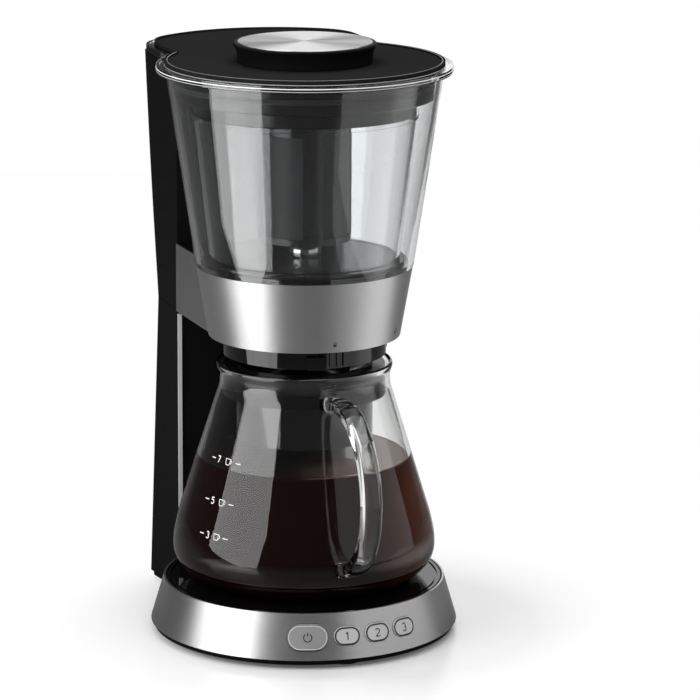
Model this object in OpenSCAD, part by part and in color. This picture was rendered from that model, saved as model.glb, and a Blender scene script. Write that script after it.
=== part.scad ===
// Cold brew coffee maker: a round base with four push buttons, a column, a head that holds the drive
// and the drain, a clear brew container with a spinning mesh basket, and a glass carafe with its lid.
// Millimetres, +Z up. The brew axis is the vertical line through base, carafe, head and container.

/* [Base] */
// Radius of the steel band at its foot
base_r = 89; // [84:0.5:96]
// How far the band leans inward from foot to top edge
base_lean = 7.5; // [5:0.5:10]
// Height of the base's top surface above the table
base_h = 30.9; // [28:0.1:38]
// Height of the rubber feet below the tray
foot_h = 2.5; // [1.5:0.1:4]
// Radius of one rubber foot
foot_r = 9.5; // [7:0.5:11]
// Thickness of the black tray under the band
tray_t = 3; // [2.4:0.1:4]
// Sheet thickness of the steel bands
steel_t = 1; // [0.6:0.1:1.4]

/* [Buttons] */
// Width of the large start button
start_w = 23.6; // [20:0.2:26]
// Height of the large start button
start_h = 15; // [12:0.2:16]
// Width of each small strength button
small_w = 15.4; // [12:0.2:16]
// Height of each small strength button
small_h = 10.6; // [8:0.2:12]
// How far the buttons stand proud of the band
button_proud = 0.9; // [0.4:0.1:1.4]
// How far a button travels when pressed
button_travel = 1; // [0.6:0.1:1.4]
// Angle of the start button round the band
start_az = -17; // [-20:0.5:-15]
// Angle between neighbouring small buttons
small_step = 12.4; // [12:0.2:14]

/* [Column] */
// Half width of the column at its waist and front edge
col_w = 53; // [48:0.5:56]
// Half width of the column's rear corners at the foot
foot_flare = 59.3; // [56:0.1:64]
// Half width of the column's rear corners at the top
col_flare = 65; // [60:0.1:66]
// Distance from the brew axis to the column's front face
col_y = 77; // [74:0.5:82]
// Distance from the brew axis to the rearmost point
rear_y = 135; // [128:0.5:145]
// Radius of the curved back at the foot
back_r0 = 125; // [100:1:150]
// Radius of the curved back at the top
back_r1 = 85; // [78:1:100]
// Wall thickness of the plastic shells
shell_t = 2.5; // [2:0.1:3.5]
// Width of the light strips on the column's front edges
strip_w = 2.3; // [1.5:0.1:4]

/* [Head] */
// Clearance between the carafe's lip and the lock ring
bay_gap = 5; // [3:0.5:8]
// Height of the head with its steel band
head_h = 40.4; // [36:0.2:46]
// Radius of the head at its underside
head_r = 55.2; // [52:0.2:58]
// How far the head's front leans outward
head_lean = 7; // [5:0.2:9]
// Height of the lock ring under the head
lock_h = 10.7; // [8:0.1:12]
// Outer radius of the lock ring
lock_r = 47; // [45:0.5:50]
// Distance of the drain from the brew axis
drain_off = 28; // [27:0.5:29]

/* [Container] */
// Height of the clear container
tank_h = 111.1; // [100:0.1:125]
// Outer radius of the container at its foot
tank_r0 = 62.5; // [60:0.5:64]
// Outer radius of the container at its flange
tank_r1 = 79; // [77:0.5:80]
// Wall thickness of the container
tank_t = 3; // [2.5:0.1:4]
// Radius of the flange round the container's mouth
flange_r = 84; // [82:0.5:88]
// Thickness of the flange
flange_t = 3.2; // [2.4:0.1:4]
// Height of the raised lip round the flange
lip_h = 0.6; // [0.4:0.1:1.5]
// Half width of the flange's tail over the column
tail_w = 65.5; // [62:0.5:68]
// Outer radius of the inner vessel at its foot
vessel_r0 = 54.5; // [52:0.5:56]
// Outer radius of the inner vessel at its rim
vessel_r1 = 64; // [60:0.5:66]
// Height from the inner vessel's rim up to the foot of the lid's skirt
vessel_drop = 8.7; // [4:0.1:14]

/* [Basket] */
// Radius of the mesh basket
basket_r = 25.5; // [22:0.5:30]
// Length of the mesh
mesh_h = 66; // [56:0.5:68]
// Radius of the shiny hub under the basket
hub_r = 9.6; // [8:0.2:12]
// Height of the shiny hub
hub_h = 8.6; // [6:0.2:9.4]
// Height of the basket's floor above the vessel's floor
basket_up = 10.6; // [8:0.2:14]
// Width of each upright rib
rib_w = 11; // [6:0.5:14]
// Number of upright ribs round the mesh
ribs = 4; // [3:1:6]

/* [Lid] */
// Radius of the lid
lid_r = 79.5; // [77:0.5:80.5]
// Thickness of the lid plate
lid_t = 1.5; // [1.2:0.1:3]
// Height of the raised edge round the lid
edge_h = 1.1; // [0.6:0.1:2]
// How far the lid's skirt hangs into the container
skirt_h = 14; // [10:0.5:18]
// Radius of the knob at its rim
knob_r = 40.8; // [36:0.2:44]
// Height of the knob's body
knob_h = 11.2; // [8:0.1:14]
// Thickness of the steel cap on the knob
cap_t = 2.2; // [1.6:0.1:3]

/* [Carafe] */
// Radius of the carafe's flat foot
jug_foot_r = 54; // [50:0.5:58]
// Largest radius of the carafe
jug_r = 76; // [73:0.5:76]
// Radius of the neck
neck_r = 49.3; // [49:0.1:51]
// Height of the carafe
jug_h = 128; // [124:0.5:129]
// Wall thickness of the glass
glass_t = 2.5; // [2:0.1:3]
// How far the handle reaches from the brew axis
handle_reach = 121; // [112:0.5:126]
// Width of the handle
handle_w = 12; // [9:0.5:14]
// Thickness of the handle
handle_t = 8; // [6:0.5:10]
// Radius of the drip cup in the carafe's mouth
cup_r = 39.6; // [36:0.2:40]
// Depth of the drip cup below its lid
cup_h = 36; // [28:0.5:40]
// Height of the ring that seats the lid in the neck
seat_h = 17; // [12:0.5:20]
// Thickness of the carafe's lid
dish_t = 7.7; // [6:0.1:9]

/* [Hidden] */
$fn = 96;
gap = 0.3;       // seat between pieces
run_gap = 0.05;  // a shaft turning or sliding in its hole
gland_out = 4;   // how far the cord gland stands out behind
axis_y = (handle_reach - rear_y - gland_out) / 2;   // brings the part's middle to the origin
band_z0 = foot_h + tray_t;
band_hh = base_h - band_z0;
band_tilt = atan(base_lean / band_hh);
button_z = band_z0 + band_hh / 2;
small_mid = 10.5;
jug_z = base_h + gap;
jug_top = jug_z + jug_h;
head_z0 = jug_top + bay_gap + lock_h;   // underside of the head
waist_z = head_z0;
head_top = head_z0 + head_h;
neck_w = col_w - 1;                 // half width of the head's straight sides
tank_z = head_top + gap;
tank_top = tank_z + tank_h;         // underside of the flange
rim_z = tank_top + flange_t;
floor_z = tank_z + 4.4;             // floor inside the vessel
vessel_h = tank_top - skirt_h - vessel_drop - floor_z;
lid_z = rim_z + gap;
lid_top = lid_z + lid_t;            // plate inside the raised edge
cap_proud = 0.5;                    // steel cap above the knob's rim
cap_r = knob_r - 2.4;               // steel cap inside the knob's rim
knob_top = lid_top + knob_h;
plate_t = 3;
bottom_t = 2.3;
boss_r = 37.92;                     // turning seat of the lock ring
basket_z = floor_z + basket_up;
mesh_top = basket_z + mesh_h;
shaft_r = 4;
motor_r = 18;
drive_r = 8;
well_r = 13;                        // well in the head's top that the spindle drops into
drive_z = head_top - plate_t - 5.5; // face that the drive's hub stands on
spout_r = 5.2;
spout_bore = 3.6;
valve_r = 7.4;
valve_bore = 5.4;
nozzle_r = 5;
cord_r = 3.3;
cord_z = foot_h + tray_t + 14;
screw_r = 1.5;
corner_r = 5;    // rounding of the column's rear corners
tail_corner = 13;   // rounding of the flange's and the lid's rear corners
board_in = 10;   // how far the board lies inside the band's outer face
board_t = 1;     // thickness of the control board
switch_w = 6;    // width of a switch
stem_l = 5.2;    // reach of a button's stem behind the band's outer face
screw_l = 14;    // length of a base screw
lip_drop = 0.8;  // top of the carafe's lid below its lip
seat_drop = 2;   // top of the seat ring below the lip
seat_t = 1.8;    // wall of the seat ring and the drip cup
feet = [[0, -base_r + 16], [-base_r + 20, -6], [base_r - 20, -6], [-42, rear_y - 31], [42, rear_y - 31]];
screws = [[-58, -36], [58, -36], [-60, 34], [60, 34]];

// ---- helpers ----
module on_axis() translate([0, axis_y, 0]) children();

module tube(ro, ri, h) difference() {
    cylinder(r = ro, h = h);
    translate([0, 0, -1]) cylinder(r = ri, h = h + 2);
}

function bez(a, b, c, d, n) = [for (i = [0:n]) let (t = i / n, s = 1 - t)
    s*s*s*a + 3*s*s*t*b + 3*s*t*t*c + t*t*t*d];

// normal to the left of a path at point i
function left(p, i) = let (a = p[max(i - 1, 0)], b = p[min(i + 1, len(p) - 1)], d = b - a)
    [-d[1], d[0]] / norm(d);
function inset(p, t) = [for (i = [0:len(p) - 1]) p[i] + t * left(p, i)];
function rev(p) = [for (i = [len(p) - 1:-1:0]) p[i]];

// frustum of the base band, its sheet moved inward along its normal by d
module band_cone(d, z0, z1) {
    k = d / cos(band_tilt);
    s = base_lean / band_hh;
    translate([0, 0, z0]) cylinder(r1 = base_r - k - s * (z0 - band_z0),
        r2 = base_r - k - s * (z1 - band_z0), h = z1 - z0, $fn = 180);
}

// puts a piece on the band, its local +Z along the band's outward normal
module on_band(az, z = button_z) rotate([0, 0, az])
    translate([0, -(base_r - (z - band_z0) * base_lean / band_hh), z]) rotate([90 - band_tilt, 0, 0])
    children();

// oval with round ends
module oval(w, h) {
    square([w - h, h], center = true);
    for (s = [-1, 1]) translate([s * (w - h) / 2, 0]) circle(d = h, $fn = 48);
}

// plan of the column: straight front, curved back of radius br, xr half width at the rear corners
function column_plan(xf, xr, d, br, y0 = col_y, cr = corner_r) = let (
    bc = rear_y - br, xi = xr - d, ri = br - d, a = asin(xi / ri), corner = [xi, bc + ri * cos(a)], side = [xf - d, y0] - corner,
    s = corner + side * cr / norm(side), b = a - cr / ri * 57.3, e = [ri * sin(b), bc + ri * cos(b)],
    half = concat([[xf - d, y0]], bez(s, (s + 2 * corner) / 3, (e + 2 * corner) / 3, e, 5),
        [for (i = [1:9]) let (t = b * (1 - i / 9)) [ri * sin(t), bc + ri * cos(t)]]))
    concat(half, [for (i = [len(half) - 2:-1:0]) [-half[i][0], half[i][1]]]);

// column shell between two heights; p = [half width of the rear corners, radius of the back]
module column_solid(z0, p0, z1, p1, d = 0, n = 8) {
    rings = [for (k = [0:n]) let (p = p0 + (p1 - p0) * k / n) column_plan(col_w, p[0], d, p[1])];
    m = len(rings[0]);
    polyhedron([for (k = [0:n]) for (p = rings[k]) [p[0], p[1], z0 + (z1 - z0) * k / n]], concat(
        [[for (j = [0:m - 1]) j]], [[for (j = [m - 1:-1:0]) n * m + j]],
        [for (k = [0:n - 1]) for (j = [0:m - 1]) [k * m + j, (k + 1) * m + j, (k + 1) * m + (j + 1) % m]],
        [for (k = [0:n - 1]) for (j = [0:m - 1]) [k * m + j, (k + 1) * m + (j + 1) % m, k * m + (j + 1) % m]]));
}

// the head's outer form moved inward by d
module head_solid(d, z0, z1) {
    s = head_lean / head_h;
    translate([0, 0, z0]) cylinder(r1 = head_r - d + s * (z0 - head_z0),
        r2 = head_r - d + s * (z1 - head_z0), h = z1 - z0, $fn = 180);
    translate([0, 0, z0]) linear_extrude(z1 - z0)
        polygon([[-(neck_w - d), 0], [neck_w - d, 0], [neck_w + 2 - d, col_y - gap], [-(neck_w + 2 - d), col_y - gap]]);
}

// keyhole outline of flange and lid, moved inward by d from the flange's edge
module keyhole(d) {
    circle(r = flange_r - d, $fn = 180);
    polygon(column_plan(tail_w, tail_w, d, back_r1, 30, tail_corner));
}

function tank_r(z) = tank_r0 + (tank_r1 - tank_r0) * (z - tank_z) / tank_h;
function vessel_r(z) = vessel_r0 + (vessel_r1 - vessel_r0) * (z - floor_z) / vessel_h;

// ---- base ----
module rubber_feet() color("dimgray") on_axis()
    for (p = feet) translate([p[0], p[1], 0]) {
        cylinder(r1 = foot_r - 0.8, r2 = foot_r, h = 0.8, $fn = 48);
        translate([0, 0, 0.8]) cylinder(r = foot_r, h = foot_h + 1 - 0.8, $fn = 48);
    }

module base_tray() color("#202020") on_axis() difference() {
    union() {
        translate([0, 0, foot_h]) cylinder(r = base_r - 1.8, h = tray_t, $fn = 180);
        translate([0, 0, foot_h]) linear_extrude(tray_t) polygon(column_plan(col_w, foot_flare, 1.5, back_r0));
        // low wall that centres the band
        difference() {
            translate([0, 0, band_z0]) tube(base_r - 8, base_r - 10, 4);
            column_cut(band_z0 - 1, band_z0 + 5);
        }
        // curved carrier behind the board
        intersection() {
            difference() {
                band_cone(board_in + board_t, band_z0, base_h - 4);
                band_cone(board_in + board_t + 2.4, band_z0 - 1, base_h - 3);
            }
            board_sector(3);
        }
        // screw posts
        for (p = screws) translate([p[0], p[1], foot_h]) cylinder(r = 5, h = tray_t + 3, $fn = 48);
    }
    for (p = feet) translate([p[0], p[1], foot_h - 1]) cylinder(r = foot_r + gap, h = 2, $fn = 48);
    for (p = screws) {
        translate([p[0], p[1], foot_h - 1]) cylinder(r = screw_r + gap, h = tray_t + 6, $fn = 32);
        translate([p[0], p[1], foot_h - 1]) cylinder(r = 2 * screw_r + gap, h = 1 + 3.4, $fn = 32);
    }
    // slots that let air into the column
    for (i = [-3:3]) translate([i * 7 - 1.2, rear_y - 42, foot_h - 1]) cube([2.4, 16, tray_t + 2]);
}

module board_sector(grow = 0) {
    a0 = start_az - start_w / 2 / base_r * 57.3 - 1 - grow;
    a1 = small_mid + small_step + small_w / 2 / base_r * 57.3 + 1 + grow;
    translate([0, 0, band_z0]) rotate([0, 0, -90 + a0]) rotate_extrude(angle = a1 - a0, $fn = 180)
        translate([base_r / 2, 0]) square([base_r, base_h]);
}

module base_band() color("silver") on_axis() difference() {
    union() {
        difference() {
            band_cone(0, band_z0, base_h);
            band_cone(steel_t, band_z0 - 1, base_h + 1);
        }
        // turned-in foot of the band
        difference() {
            band_cone(0.2, band_z0, band_z0 + steel_t);
            translate([0, 0, band_z0 - 1]) cylinder(r = base_r - 5, h = steel_t + 2, $fn = 180);
        }
    }
    column_cut(band_z0 - 1, base_h + 1);
    on_band(start_az) translate([0, 0, -6]) linear_extrude(12) oval(start_w + 2 * gap, start_h + 2 * gap);
    for (i = [-1:1]) on_band(small_mid + i * small_step) translate([0, 0, -6])
        linear_extrude(12) oval(small_w + 2 * gap, small_h + 2 * gap);
}

// space that the column's foot takes out of the round base
module column_cut(z0, z1) translate([-col_flare - 5, col_y - gap, z0])
    cube([2 * col_flare + 10, 60, z1 - z0]);

module base_deck() color("#101010") on_axis() {
    r = base_r - base_lean - steel_t / cos(band_tilt) - gap;
    difference() {
        union() {
            translate([0, 0, base_h - 3]) band_like(r, 3);
            translate([0, 0, base_h - 7]) tube(r - 1.6, r - 3.6, 5);
            for (p = screws) translate([p[0], p[1], foot_h + tray_t + 3])
                cylinder(r = 4, h = base_h - 4 - foot_h - tray_t, $fn = 48);
        }
        // groove inside the raised edge
        translate([0, 0, base_h - 0.8]) tube(r - 2.5, r - 3.7, 2);
        // shallow ring that the carafe's foot stands over
        translate([0, 0, base_h - 0.6]) tube(jug_foot_r - 14, jug_foot_r - 15.2, 2);
        for (p = screws) translate([p[0], p[1], foot_h + tray_t + 2]) cylinder(r = screw_r, h = screw_l, $fn = 32);
        column_cut(base_h - 12, base_h + 2);
    }
}

module band_like(r, h) {
    cylinder(r = r, h = h - 0.6, $fn = 180);
    translate([0, 0, h - 0.6]) cylinder(r1 = r, r2 = r - 0.6, h = 0.6, $fn = 180);
}

module button(az, w, h) on_axis() {
    intersection() {
        on_band(az) translate([0, 0, -6]) linear_extrude(12) oval(w, h);
        difference() {
            band_cone(-button_proud, band_z0 - 4, base_h + 4);
            band_cone(steel_t + gap + 1.4, band_z0 - 5, base_h + 5);
        }
    }
    // flange behind the sheet
    intersection() {
        on_band(az) translate([0, 0, -6]) linear_extrude(12) oval(w + 1.8, h + 1.8);
        difference() {
            band_cone(steel_t + gap, band_z0 - 4, base_h + 4);
            band_cone(steel_t + gap + 1.4, band_z0 - 5, base_h + 5);
        }
    }
    // stem towards its switch
    on_band(az) translate([0, 0, -stem_l]) cylinder(r = 1.8, h = stem_l - steel_t - gap - 1, $fn = 32);
}

module button_start() color("lightgray") button(start_az, start_w, start_h);
module button_mild() color("lightgray") button(small_mid - small_step, small_w, small_h);
module button_medium() color("lightgray") button(small_mid, small_w, small_h);
module button_bold() color("lightgray") button(small_mid + small_step, small_w, small_h);

module control_board() color("darkgreen") on_axis() intersection() {
    difference() {
        band_cone(board_in, band_z0 + 1.5, base_h - 5);
        band_cone(board_in + board_t, band_z0, base_h - 4);
    }
    board_sector(1);
}

module tact_switches() color("gray") on_axis()
    for (az = [start_az, small_mid - small_step, small_mid, small_mid + small_step]) difference() {
        on_band(az) {
            translate([-switch_w / 2, -switch_w / 2, -board_in - 1]) cube([switch_w, switch_w,
                board_in + 1 - stem_l - 0.8 - button_travel - gap]);
            translate([0, 0, -board_in - 1])
                cylinder(r = 1.6, h = board_in + 1 - stem_l - button_travel - gap, $fn = 32);
        }
        band_cone(board_in, band_z0 - 2, base_h + 2);
    }

module base_screws() color("gainsboro") on_axis() for (p = screws) translate([p[0], p[1], foot_h + 0.6]) difference() {
    union() {
        cylinder(r = 2 * screw_r, h = 2, $fn = 32);
        cylinder(r = screw_r - run_gap, h = screw_l, $fn = 32);
    }
    for (a = [0, 90]) rotate([0, 0, a]) translate([-1.6, -0.35, -1]) cube([3.2, 0.7, 1.9]);
}

// ---- column ----
at_foot = [foot_flare, back_r0];
at_waist = [col_w, (back_r0 + back_r1) / 2];
at_top = [col_flare, back_r1];

module cord_gland() color("#181818") on_axis() translate([0, rear_y, cord_z]) rotate([90, 0, 0]) difference() {
    union() {
        translate([0, 0, -gland_out]) cylinder(r1 = 4.8, r2 = 5.6, h = gland_out, $fn = 48);
        translate([0, 0, -1.4]) cylinder(r = 7, h = 1.4 - gap, $fn = 48);
        translate([0, 0, -gap]) cylinder(r = 5.6, h = shell_t + 3 * gap, $fn = 48);
        translate([0, 0, shell_t + 1.5 * gap]) cylinder(r = 7, h = 1.6, $fn = 48);
    }
    translate([0, 0, -gland_out - 1]) cylinder(r = cord_r, h = shell_t + gland_out + 6, $fn = 48);
}

module column_lower() color("#262626") on_axis() difference() {
    column_solid(band_z0, at_foot, waist_z, at_waist);
    // hollow inside
    intersection() {
        column_solid(band_z0 - 1, at_foot, waist_z - shell_t, at_waist, shell_t, 2);
        translate([-100, col_y + 7, 0]) cube([200, 100, waist_z]);
    }
    // shallow recess behind the carafe
    translate([0, 0, base_h]) cylinder(r = jug_r + 4.5, h = waist_z - base_h - 12, $fn = 180);
    translate([0, 0, waist_z - shell_t - 1]) translate([0, rear_y - 28, 0]) cylinder(r = 6, h = 6, $fn = 48);
    translate([0, rear_y, cord_z]) rotate([90, 0, 0]) translate([0, 0, -2]) cylinder(r = 5.6 + gap, h = 9, $fn = 48);
}

module column_upper() color("#262626") on_axis() difference() {
    column_solid(waist_z + gap, at_waist, tank_top - gap, at_top);
    intersection() {
        column_solid(waist_z + gap + shell_t, at_waist, tank_top - gap - shell_t, at_top, shell_t, 2);
        translate([-100, col_y + 7, 0]) cube([200, 100, 400]);
    }
    // hollow that the container's wall sits in
    translate([0, 0, head_top]) cylinder(r1 = tank_r(head_top) + 1.5, r2 = tank_r(tank_top + 2) + 1.5,
        h = tank_top + 2 - head_top, $fn = 180);
    translate([0, rear_y - 28, waist_z - 1]) cylinder(r = 6, h = 6, $fn = 48);
}

module trim_strips() color("lightgray") on_axis() for (s = [-1, 1])
    translate([s * (col_w - strip_w / 2) - strip_w / 2, col_y - 1.2, base_h + 20])
        cube([strip_w, 1.2, waist_z - base_h - 22]);

// ---- head ----
module head_housing() color("#202020") on_axis() difference() {
    head_solid(steel_t + gap, head_z0 + bottom_t + gap, head_top - gap);
    head_solid(steel_t + gap + shell_t, head_z0 - 1, head_top - plate_t);
    translate([-neck_w + 6, 40, head_z0]) cube([2 * neck_w - 12, col_y - 40 - shell_t, head_h - plate_t]);
    // well of the drive and the drain's hole
    translate([0, 0, head_top - 5]) cylinder(r = well_r, h = 10, $fn = 64);
    translate([0, -drain_off, head_top - 5]) cylinder(r = nozzle_r + 0.6, h = 10, $fn = 48);
}

module head_band() color("silver") on_axis() difference() {
    head_solid(0, head_z0, head_top);
    head_solid(steel_t, head_z0 - 1, head_top + 1);
    translate([-100, col_y - gap - 0.5, head_z0 - 1]) cube([200, 5, head_h + 2]);
}

module head_bottom() color("#1b1b1b") on_axis() difference() {
    union() {
        head_solid(steel_t + gap, head_z0, head_z0 + bottom_t);
        translate([0, 0, head_z0 - lock_h - 2.2]) cylinder(r = boss_r, h = lock_h + 3);
        // lip that carries the lock ring
        translate([0, 0, head_z0 - lock_h - 2.2]) cylinder(r = boss_r + 2.6, h = 1.6);
    }
    translate([0, 0, head_z0 - lock_h]) cylinder(r = boss_r - shell_t, h = lock_h + 5);
    translate([0, -drain_off, head_z0 - lock_h - 5]) cylinder(r = spout_r + gap, h = 8, $fn = 48);
}

module lock_ring() color("#151515") on_axis() translate([0, 0, head_z0 - lock_h - gap]) difference() {
    union() {
        cylinder(r = lock_r, h = lock_h);
        // grip ribs and the pointer tab
        for (a = [90, 180, 270]) for (i = [-2:2]) rotate([0, 0, a - 90 + i * 5])
            translate([-0.8, -lock_r - 1, 1]) cube([1.6, 3, lock_h - 2]);
        rotate([0, 0, -11]) translate([-5, -lock_r - 3.4, 0]) cube([10, 6, lock_h - 3.4]);
    }
    translate([0, 0, -1]) cylinder(r = boss_r + run_gap, h = lock_h + 2);
    translate([0, 0, lock_h - 3.4]) tube(lock_r - 2, boss_r + 3, 5);
}

module drive_motor() color("slategray") on_axis() difference() {
    union() {
        translate([0, 0, head_z0 + bottom_t + 3])
            cylinder(r = motor_r, h = drive_z - head_z0 - bottom_t - 3, $fn = 64);
        translate([0, 0, head_z0 + bottom_t + gap]) cylinder(r = 7, h = 4, $fn = 48);
    }
    translate([0, 0, drive_z - 10]) cylinder(r = 3 + run_gap, h = 12, $fn = 48);
}

// posts that hang the motor from the head's top plate
module motor_posts() color("dimgray") on_axis() for (a = [90, 210, 330])
    rotate([0, 0, a]) translate([motor_r - 3, 0, drive_z]) cylinder(r = 2.4, h = head_top - plate_t - drive_z, $fn = 32);

module drive_coupling() color("gold") on_axis() difference() {
    union() {
        translate([0, 0, drive_z - 9.5]) cylinder(r = 3, h = 10, $fn = 48);
        translate([0, 0, drive_z + gap]) cylinder(r = drive_r, h = head_top - 1 - drive_z, $fn = 64);
    }
    translate([-drive_r - 1, -1.3 - gap, drive_z + 2]) cube([2 * drive_r + 2, 2.6 + 2 * gap, 20]);
}

module drain_valve() color("#2c2c2c") on_axis() translate([0, -drain_off, 0]) difference() {
    union() {
        translate([0, 0, head_z0 - lock_h - 3]) cylinder(r = spout_r, h = lock_h + 6, $fn = 48);
        translate([0, 0, head_z0 + bottom_t + gap])
            cylinder(r = valve_r, h = head_h - bottom_t - plate_t - 2 * gap, $fn = 48);
    }
    translate([0, 0, head_z0 - 20]) cylinder(r = spout_bore, h = 40, $fn = 48);
    translate([0, 0, head_z0 + bottom_t + 3]) cylinder(r = valve_bore, h = head_h, $fn = 48);
}

module drain_plunger() color("firebrick") on_axis() translate([0, -drain_off, 0]) difference() {
    union() {
        translate([0, 0, head_z0 - lock_h - 4])
            cylinder(r = spout_bore - run_gap, h = lock_h + bottom_t + 8, $fn = 48);
        translate([0, 0, head_z0 + bottom_t + 3 + gap]) cylinder(r = valve_bore - 0.4, h = 2.4, $fn = 48);
    }
    // flutes that let the brew run down the stem
    for (a = [0, 90, 180, 270]) rotate([0, 0, a]) translate([spout_bore - 1, -0.7, head_z0 - lock_h - 5])
        cube([3, 1.4, lock_h + bottom_t + 6.8]);
}

// ---- brew container ----
module brew_container() color([0.8, 0.9, 1, 0.35]) on_axis() {
    difference() {
        union() {
            translate([0, 0, tank_z]) cylinder(r1 = tank_r0, r2 = tank_r1, h = tank_h, $fn = 180);
            translate([0, 0, tank_top]) linear_extrude(flange_t) keyhole(0);
            translate([0, 0, tank_top]) linear_extrude(flange_t + lip_h) difference() {
                keyhole(0);
                keyhole(1.8);
            }
        }
        translate([0, 0, tank_z + 2.5]) cylinder(r1 = tank_r(tank_z + 2.5) - tank_t,
            r2 = tank_r(rim_z + 1) - tank_t, h = rim_z + 1 - tank_z - 2.5, $fn = 180);
        translate([0, 0, tank_z - 1]) cylinder(r = tank_r0 - 12, h = 8, $fn = 128);
    }
}

module container_base() color("#303030") on_axis() {
    difference() {
        union() {
            translate([0, 0, tank_z]) cylinder(r = tank_r0 - 12 - gap, h = floor_z - tank_z, $fn = 128);
            translate([0, 0, tank_z + 2.5 + gap])
                cylinder(r = tank_r0 - 5.2, h = floor_z - tank_z - 2.5 - gap, $fn = 128);
            translate([0, -drain_off, tank_z - 8]) cylinder(r = nozzle_r, h = 9, $fn = 48);
        }
        translate([0, 0, tank_z - 2]) cylinder(r = shaft_r + run_gap, h = 12, $fn = 48);
        translate([0, -drain_off, tank_z - 9]) cylinder(r = nozzle_r - 1.5, h = 20, $fn = 48);
        // seat of the floor filter
        translate([0, 0, floor_z - 0.8]) cylinder(r = vessel_r0 - 4 + gap, h = 2, $fn = 128);
    }
}

module floor_filter() color("gray") on_axis() translate([0, 0, floor_z - 0.8]) difference() {
    cylinder(r = vessel_r0 - 4, h = 1, $fn = 128);
    translate([0, 0, -1]) cylinder(r = shaft_r + 1.5, h = 4, $fn = 48);
}

module inner_vessel() color([0.85, 0.9, 1, 0.35]) on_axis() difference() {
    union() {
        translate([0, 0, floor_z]) cylinder(r1 = vessel_r0, r2 = vessel_r1, h = vessel_h, $fn = 180);
        translate([0, 0, floor_z + vessel_h - 2.4]) cylinder(r = vessel_r1 + 0.9, h = 2.4, $fn = 180);
    }
    translate([0, 0, floor_z - 1]) cylinder(r1 = vessel_r(floor_z - 1) - 2.2,
        r2 = vessel_r(floor_z + vessel_h + 1) - 2.2, h = vessel_h + 2, $fn = 180);
}

// ---- spinning basket ----
module spindle_hub() color("silver") on_axis() {
    translate([0, 0, head_top - 1 + 2 * gap]) cylinder(r = shaft_r, h = floor_z - head_top + 2, $fn = 48);
    // tongue that drops into the drive's slot
    translate([-shaft_r, -1.3, drive_z + 2 + gap])
        cube([2 * shaft_r, 2.6, head_top - drive_z - 2 - gap + 0.1]);
    // shiny bell-shaped hub
    translate([0, 0, floor_z + 0.2 + gap]) rotate_extrude($fn = 96) polygon(concat([[0, 0], [hub_r - 1, 0]],
        bez([hub_r - 0.4, 0.2], [hub_r + 0.2, hub_h * 0.3], [hub_r, hub_h * 0.6],
            [hub_r - 1.6, hub_h - 1.4], 8),
        bez([hub_r - 2.2, hub_h - 0.8], [hub_r - 2.9, hub_h - 0.2], [hub_r - 3.4, hub_h],
            [hub_r - 4, hub_h], 4),
        [[0, hub_h]]));
    translate([0, 0, floor_z + 1]) cylinder(r = shaft_r + 0.8, h = basket_up - 1, $fn = 48);
}

module basket_frame() color("#2b2b2b") on_axis() translate([0, 0, basket_z]) difference() {
    rotate_extrude() polygon([[0, 0], [basket_r + 1.2, 0], [basket_r + 1.2, mesh_h],
        [basket_r + run_gap, mesh_h], [basket_r + run_gap, 1.4], [0, 1.4]]);
    // windows between the upright ribs
    for (i = [0:ribs - 1]) translate([0, 0, 3.6]) linear_extrude(mesh_h - 7.6) {
        a = asin(rib_w / 2 / basket_r);
        t = -98 + i * 360 / ribs;
        polygon([[0, 0], for (k = [0:4]) let (u = t + a + (360 / ribs - 2 * a) * k / 4)
            2 * basket_r * [cos(u), sin(u)]]);
    }
}

module basket_mesh() color("gray") on_axis() translate([0, 0, basket_z + 1.4])
    tube(basket_r, basket_r - 0.8, mesh_h - 1.4);

module basket_cap() color("#161616") on_axis() translate([0, 0, mesh_top]) difference() {
    union() {
        cylinder(r = basket_r + 2, h = lid_z - mesh_top - 5);
        translate([0, 0, lid_z - mesh_top - 5]) cylinder(r1 = basket_r + 2, r2 = basket_r + 1, h = 1);
    }
    translate([0, 0, -1]) cylinder(r = basket_r - 1.5, h = lid_z - mesh_top - 6);
}

// ---- lid ----
skirt_r = tank_r(tank_top - skirt_h) - tank_t - 0.5;   // outside of the skirt

module lid() color("#1d1d1d") on_axis() difference() {
    translate([0, 0, lid_z]) union() {
        linear_extrude(lid_t) keyhole(flange_r - lid_r);
        // raised edge
        linear_extrude(lid_t + edge_h) difference() {
            keyhole(flange_r - lid_r);
            keyhole(flange_r - lid_r + 1.6);
        }
    }
    translate([0, 0, lid_z - 1]) cylinder(r = screw_r + gap, h = 10, $fn = 32);
}

// outer skirt in the container's mouth, stepped in to the ring that closes the vessel
module lid_skirt() color("#181818") on_axis() difference() {
    z = tank_top - skirt_h;
    rotate_extrude($fn = 180) polygon([[skirt_r - 2, lid_z], [skirt_r - 2, z + 2], [vessel_r1 - 2.4, z + 2],
        [vessel_r1 - 2.4, floor_z + vessel_h + gap], [vessel_r1 - 0.4, floor_z + vessel_h + gap],
        [vessel_r1 - 0.4, z], [skirt_r - 0.6, z], [skirt_r, z + 0.6], [skirt_r, lid_z]]);
    // groove of the seal
    translate([0, 0, tank_top - 8]) tube(skirt_r + 2, skirt_r - 1, 3);
}

module lid_seal() color("black") on_axis() {
    translate([0, 0, tank_top - 8 + run_gap]) tube(skirt_r + 0.3, skirt_r - 1 + run_gap, 3 - 2 * run_gap);
}

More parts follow.
